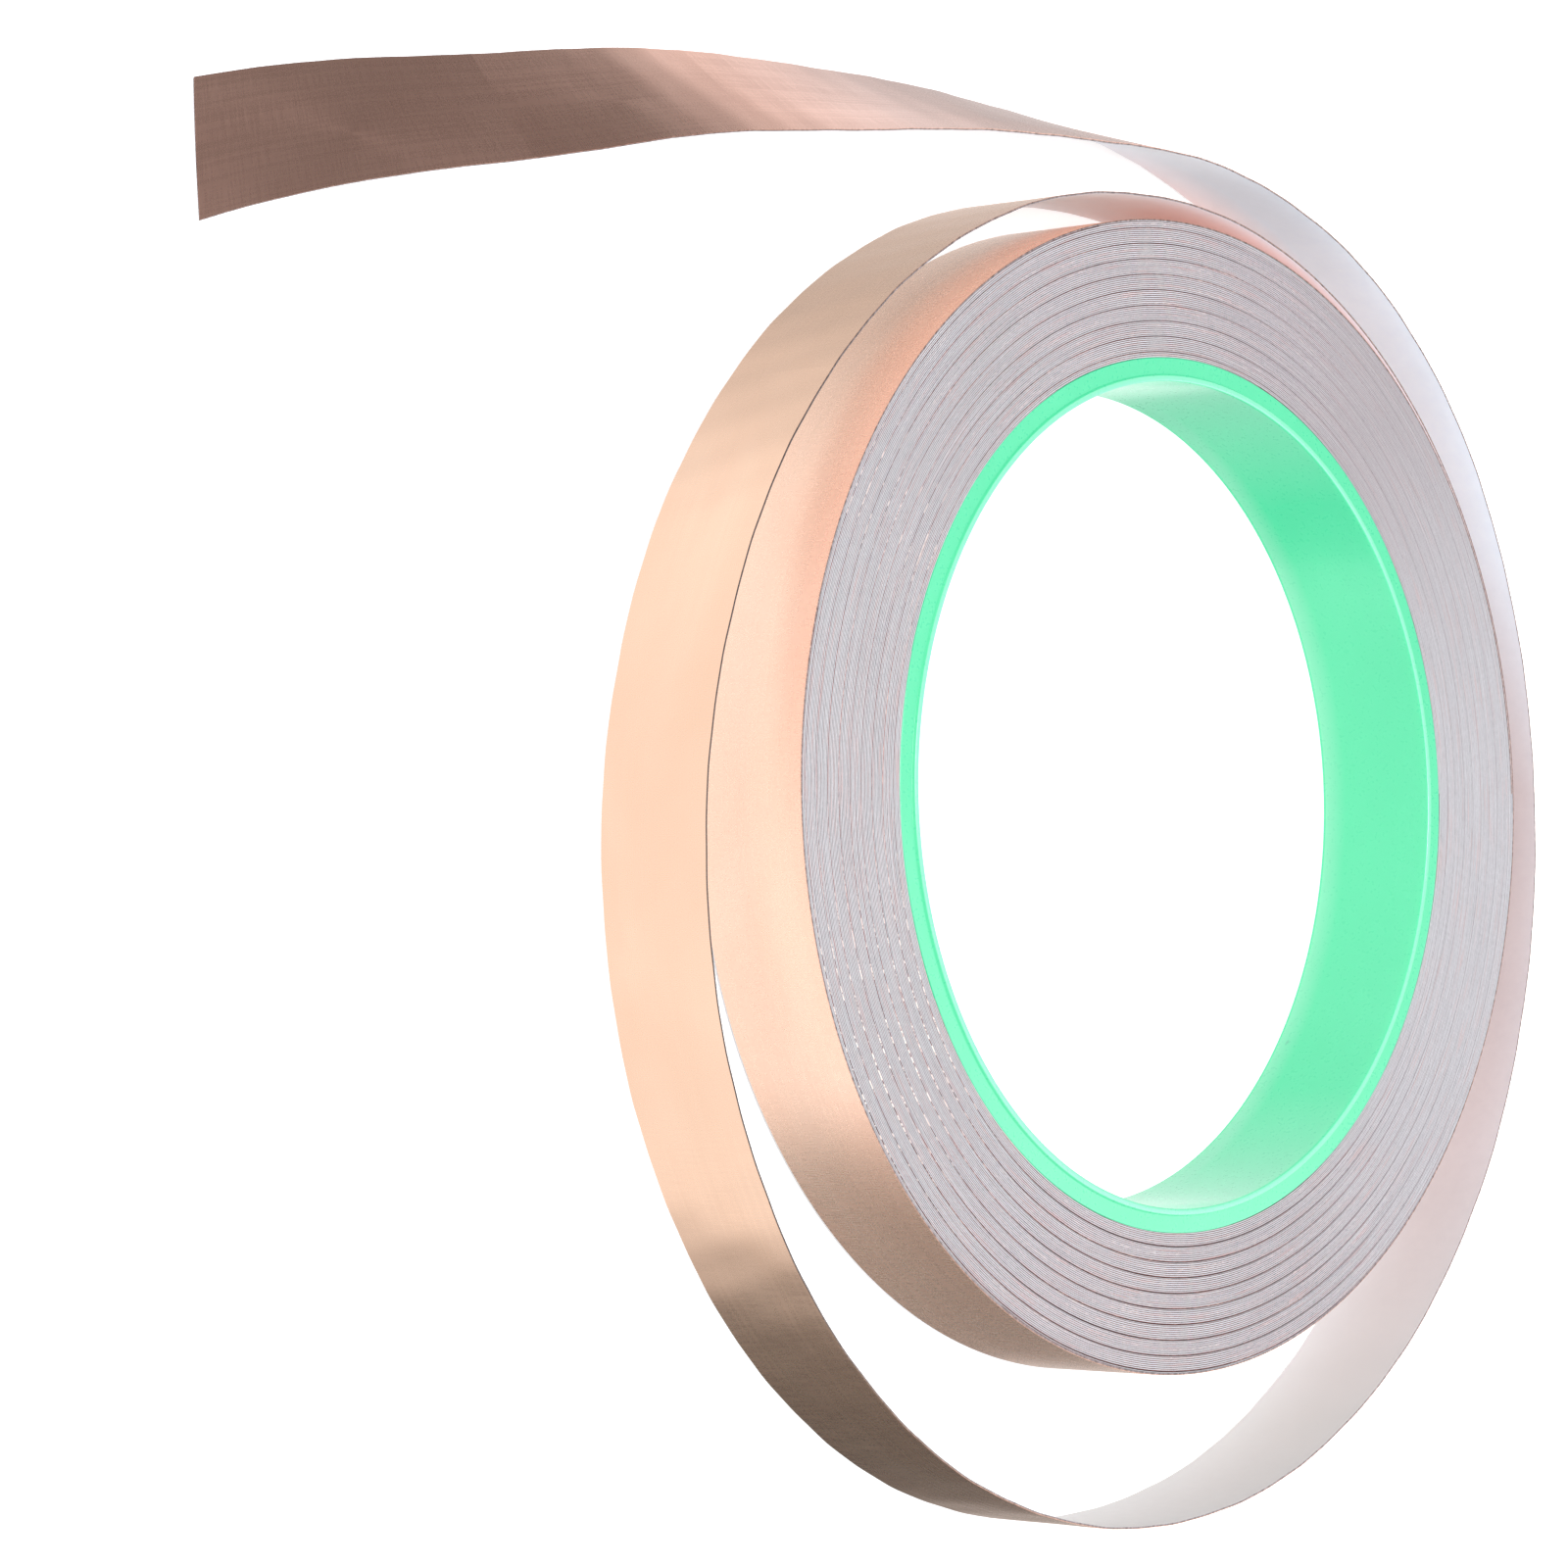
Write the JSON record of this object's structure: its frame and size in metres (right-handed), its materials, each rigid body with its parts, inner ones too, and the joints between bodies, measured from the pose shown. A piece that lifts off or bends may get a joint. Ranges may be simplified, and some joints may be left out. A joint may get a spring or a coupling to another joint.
{
  "type": "copper foil tape roll",
  "caption": "Adhesive copper foil tape on a paper backing, wound on a plastic core, with a loose outer turn and a free tail.",
  "frame": {"origin": "centre of the core's bore, half way up the roll", "axes": "+Z along the core's axis, towards the side seen in use; the free tail runs off towards -X"},
  "size_m": [0.1707, 0.1313, 0.0126],
  "materials": {
    "core_plastic": "translucent mint moulded plastic, satin",
    "backing_paper": "smooth silicone-coated release paper",
    "adhesive": "clear tacky acrylic film",
    "copper_foil": "satin rolled copper with a fine cross grain"
  },
  "bodies": {
    "root": {"core": "core_plastic", "winding_liner": "backing_paper", "winding_adhesive": "adhesive", "winding_foil": "copper_foil", "last_turn_liner": "backing_paper", "last_turn_adhesive": "adhesive", "last_turn_foil": "copper_foil", "lead_liner": "backing_paper", "lead_adhesive": "adhesive", "lead_foil": "copper_foil"},
    "loop_1": {"loop_1_liner": "backing_paper", "loop_1_adhesive": "adhesive", "loop_1_foil": "copper_foil"},
    "loop_2": {"loop_2_liner": "backing_paper", "loop_2_adhesive": "adhesive", "loop_2_foil": "copper_foil"},
    "loop_3": {"loop_3_liner": "backing_paper", "loop_3_adhesive": "adhesive", "loop_3_foil": "copper_foil"},
    "loop_4": {"loop_4_liner": "backing_paper", "loop_4_adhesive": "adhesive", "loop_4_foil": "copper_foil"},
    "loop_5": {"loop_5_liner": "backing_paper", "loop_5_adhesive": "adhesive", "loop_5_foil": "copper_foil"},
    "loop_6": {"loop_6_liner": "backing_paper", "loop_6_adhesive": "adhesive", "loop_6_foil": "copper_foil"},
    "loop_7": {"loop_7_liner": "backing_paper", "loop_7_adhesive": "adhesive", "loop_7_foil": "copper_foil"},
    "loop_8": {"loop_8_liner": "backing_paper", "loop_8_adhesive": "adhesive", "loop_8_foil": "copper_foil"},
    "tail_1": {"tail_1_liner": "backing_paper", "tail_1_adhesive": "adhesive", "tail_1_foil": "copper_foil"},
    "tail_2": {"tail_2_liner": "backing_paper", "tail_2_adhesive": "adhesive", "tail_2_foil": "copper_foil"},
    "tail_3": {"tail_3_liner": "backing_paper", "tail_3_adhesive": "adhesive", "tail_3_foil": "copper_foil"},
    "tip": {"tip_adhesive": "adhesive", "tip_foil": "copper_foil"}
  },
  "joints": [
    {"name": "loop_opening", "type": "hinge", "parent": "root", "child": "loop_1", "pos_m": [0.014, 0.05225, 0], "axis": [0, 0, -1], "range_deg": [-2, 38], "stiffness_Nm_per_rad": 0.0032},
    {"name": "loop_bend_2", "type": "hinge", "parent": "loop_1", "child": "loop_2", "pos_m": [-0.02875, 0.04981, 0], "axis": [0, 0, -1], "range_deg": [-2, 38]},
    {"name": "loop_bend_3", "type": "hinge", "parent": "loop_2", "child": "loop_3", "pos_m": [-0.06075, 0.01629, 0], "axis": [0, 0, -1], "range_deg": [-2, 38]},
    {"name": "loop_bend_4", "type": "hinge", "parent": "loop_3", "child": "loop_4", "pos_m": [-0.05819, -0.03359, 0], "axis": [0, 0, -1], "range_deg": [-2, 38]},
    {"name": "loop_bend_5", "type": "hinge", "parent": "loop_4", "child": "loop_5", "pos_m": [-0.01745, -0.06513, 0], "axis": [0, 0, -1], "range_deg": [-2, 38]},
    {"name": "loop_bend_6", "type": "hinge", "parent": "loop_5", "child": "loop_6", "pos_m": [0.03138, -0.05434, 0], "axis": [0, 0, -1], "range_deg": [-2, 38]},
    {"name": "loop_bend_7", "type": "hinge", "parent": "loop_6", "child": "loop_7", "pos_m": [0.05558, -0.01489, 0], "axis": [-0.0001, 0, -1], "range_deg": [-2, 38]},
    {"name": "loop_bend_8", "type": "hinge", "parent": "loop_7", "child": "loop_8", "pos_m": [0.04965, 0.02866, 0], "axis": [-0.0003, -0.0002, -1], "range_deg": [-2, 38]},
    {"name": "tail_swing", "type": "hinge", "parent": "loop_8", "child": "tail_1", "pos_m": [0.0154, 0.05773, -0.00004], "axis": [0.0481, 0.1284, -0.9905], "range_deg": [-2, 50], "stiffness_Nm_per_rad": 0.0004},
    {"name": "tail_curl", "type": "hinge", "parent": "tail_1", "child": "tail_2", "pos_m": [-0.0373, 0.06137, -0.00097], "axis": [-0.0029, 0.5565, -0.8308], "range_deg": [0, 40], "stiffness_Nm_per_rad": 0.0008},
    {"name": "tail_curl_end", "type": "hinge", "parent": "tail_2", "child": "tail_3", "pos_m": [-0.07155, 0.05797, -0.0019], "axis": [-0.0331, 0.7434, -0.668], "range_deg": [0, 40]},
    {"name": "backing_peel", "type": "hinge", "parent": "tail_3", "child": "tip", "pos_m": [-0.08712, 0.05557, -0.00225], "axis": [0.134, 0.8064, -0.576], "range_deg": [0, 75], "stiffness_Nm_per_rad": 0.0004}
  ],
  "couplings": [
    {"joint": "loop_bend_2", "follows": "loop_opening", "ratio": 1},
    {"joint": "loop_bend_3", "follows": "loop_opening", "ratio": 1},
    {"joint": "loop_bend_4", "follows": "loop_opening", "ratio": 1},
    {"joint": "loop_bend_5", "follows": "loop_opening", "ratio": 1},
    {"joint": "loop_bend_6", "follows": "loop_opening", "ratio": 1},
    {"joint": "loop_bend_7", "follows": "loop_opening", "ratio": 1},
    {"joint": "loop_bend_8", "follows": "loop_opening", "ratio": 1},
    {"joint": "tail_curl_end", "follows": "tail_curl", "ratio": 1}
  ]
}
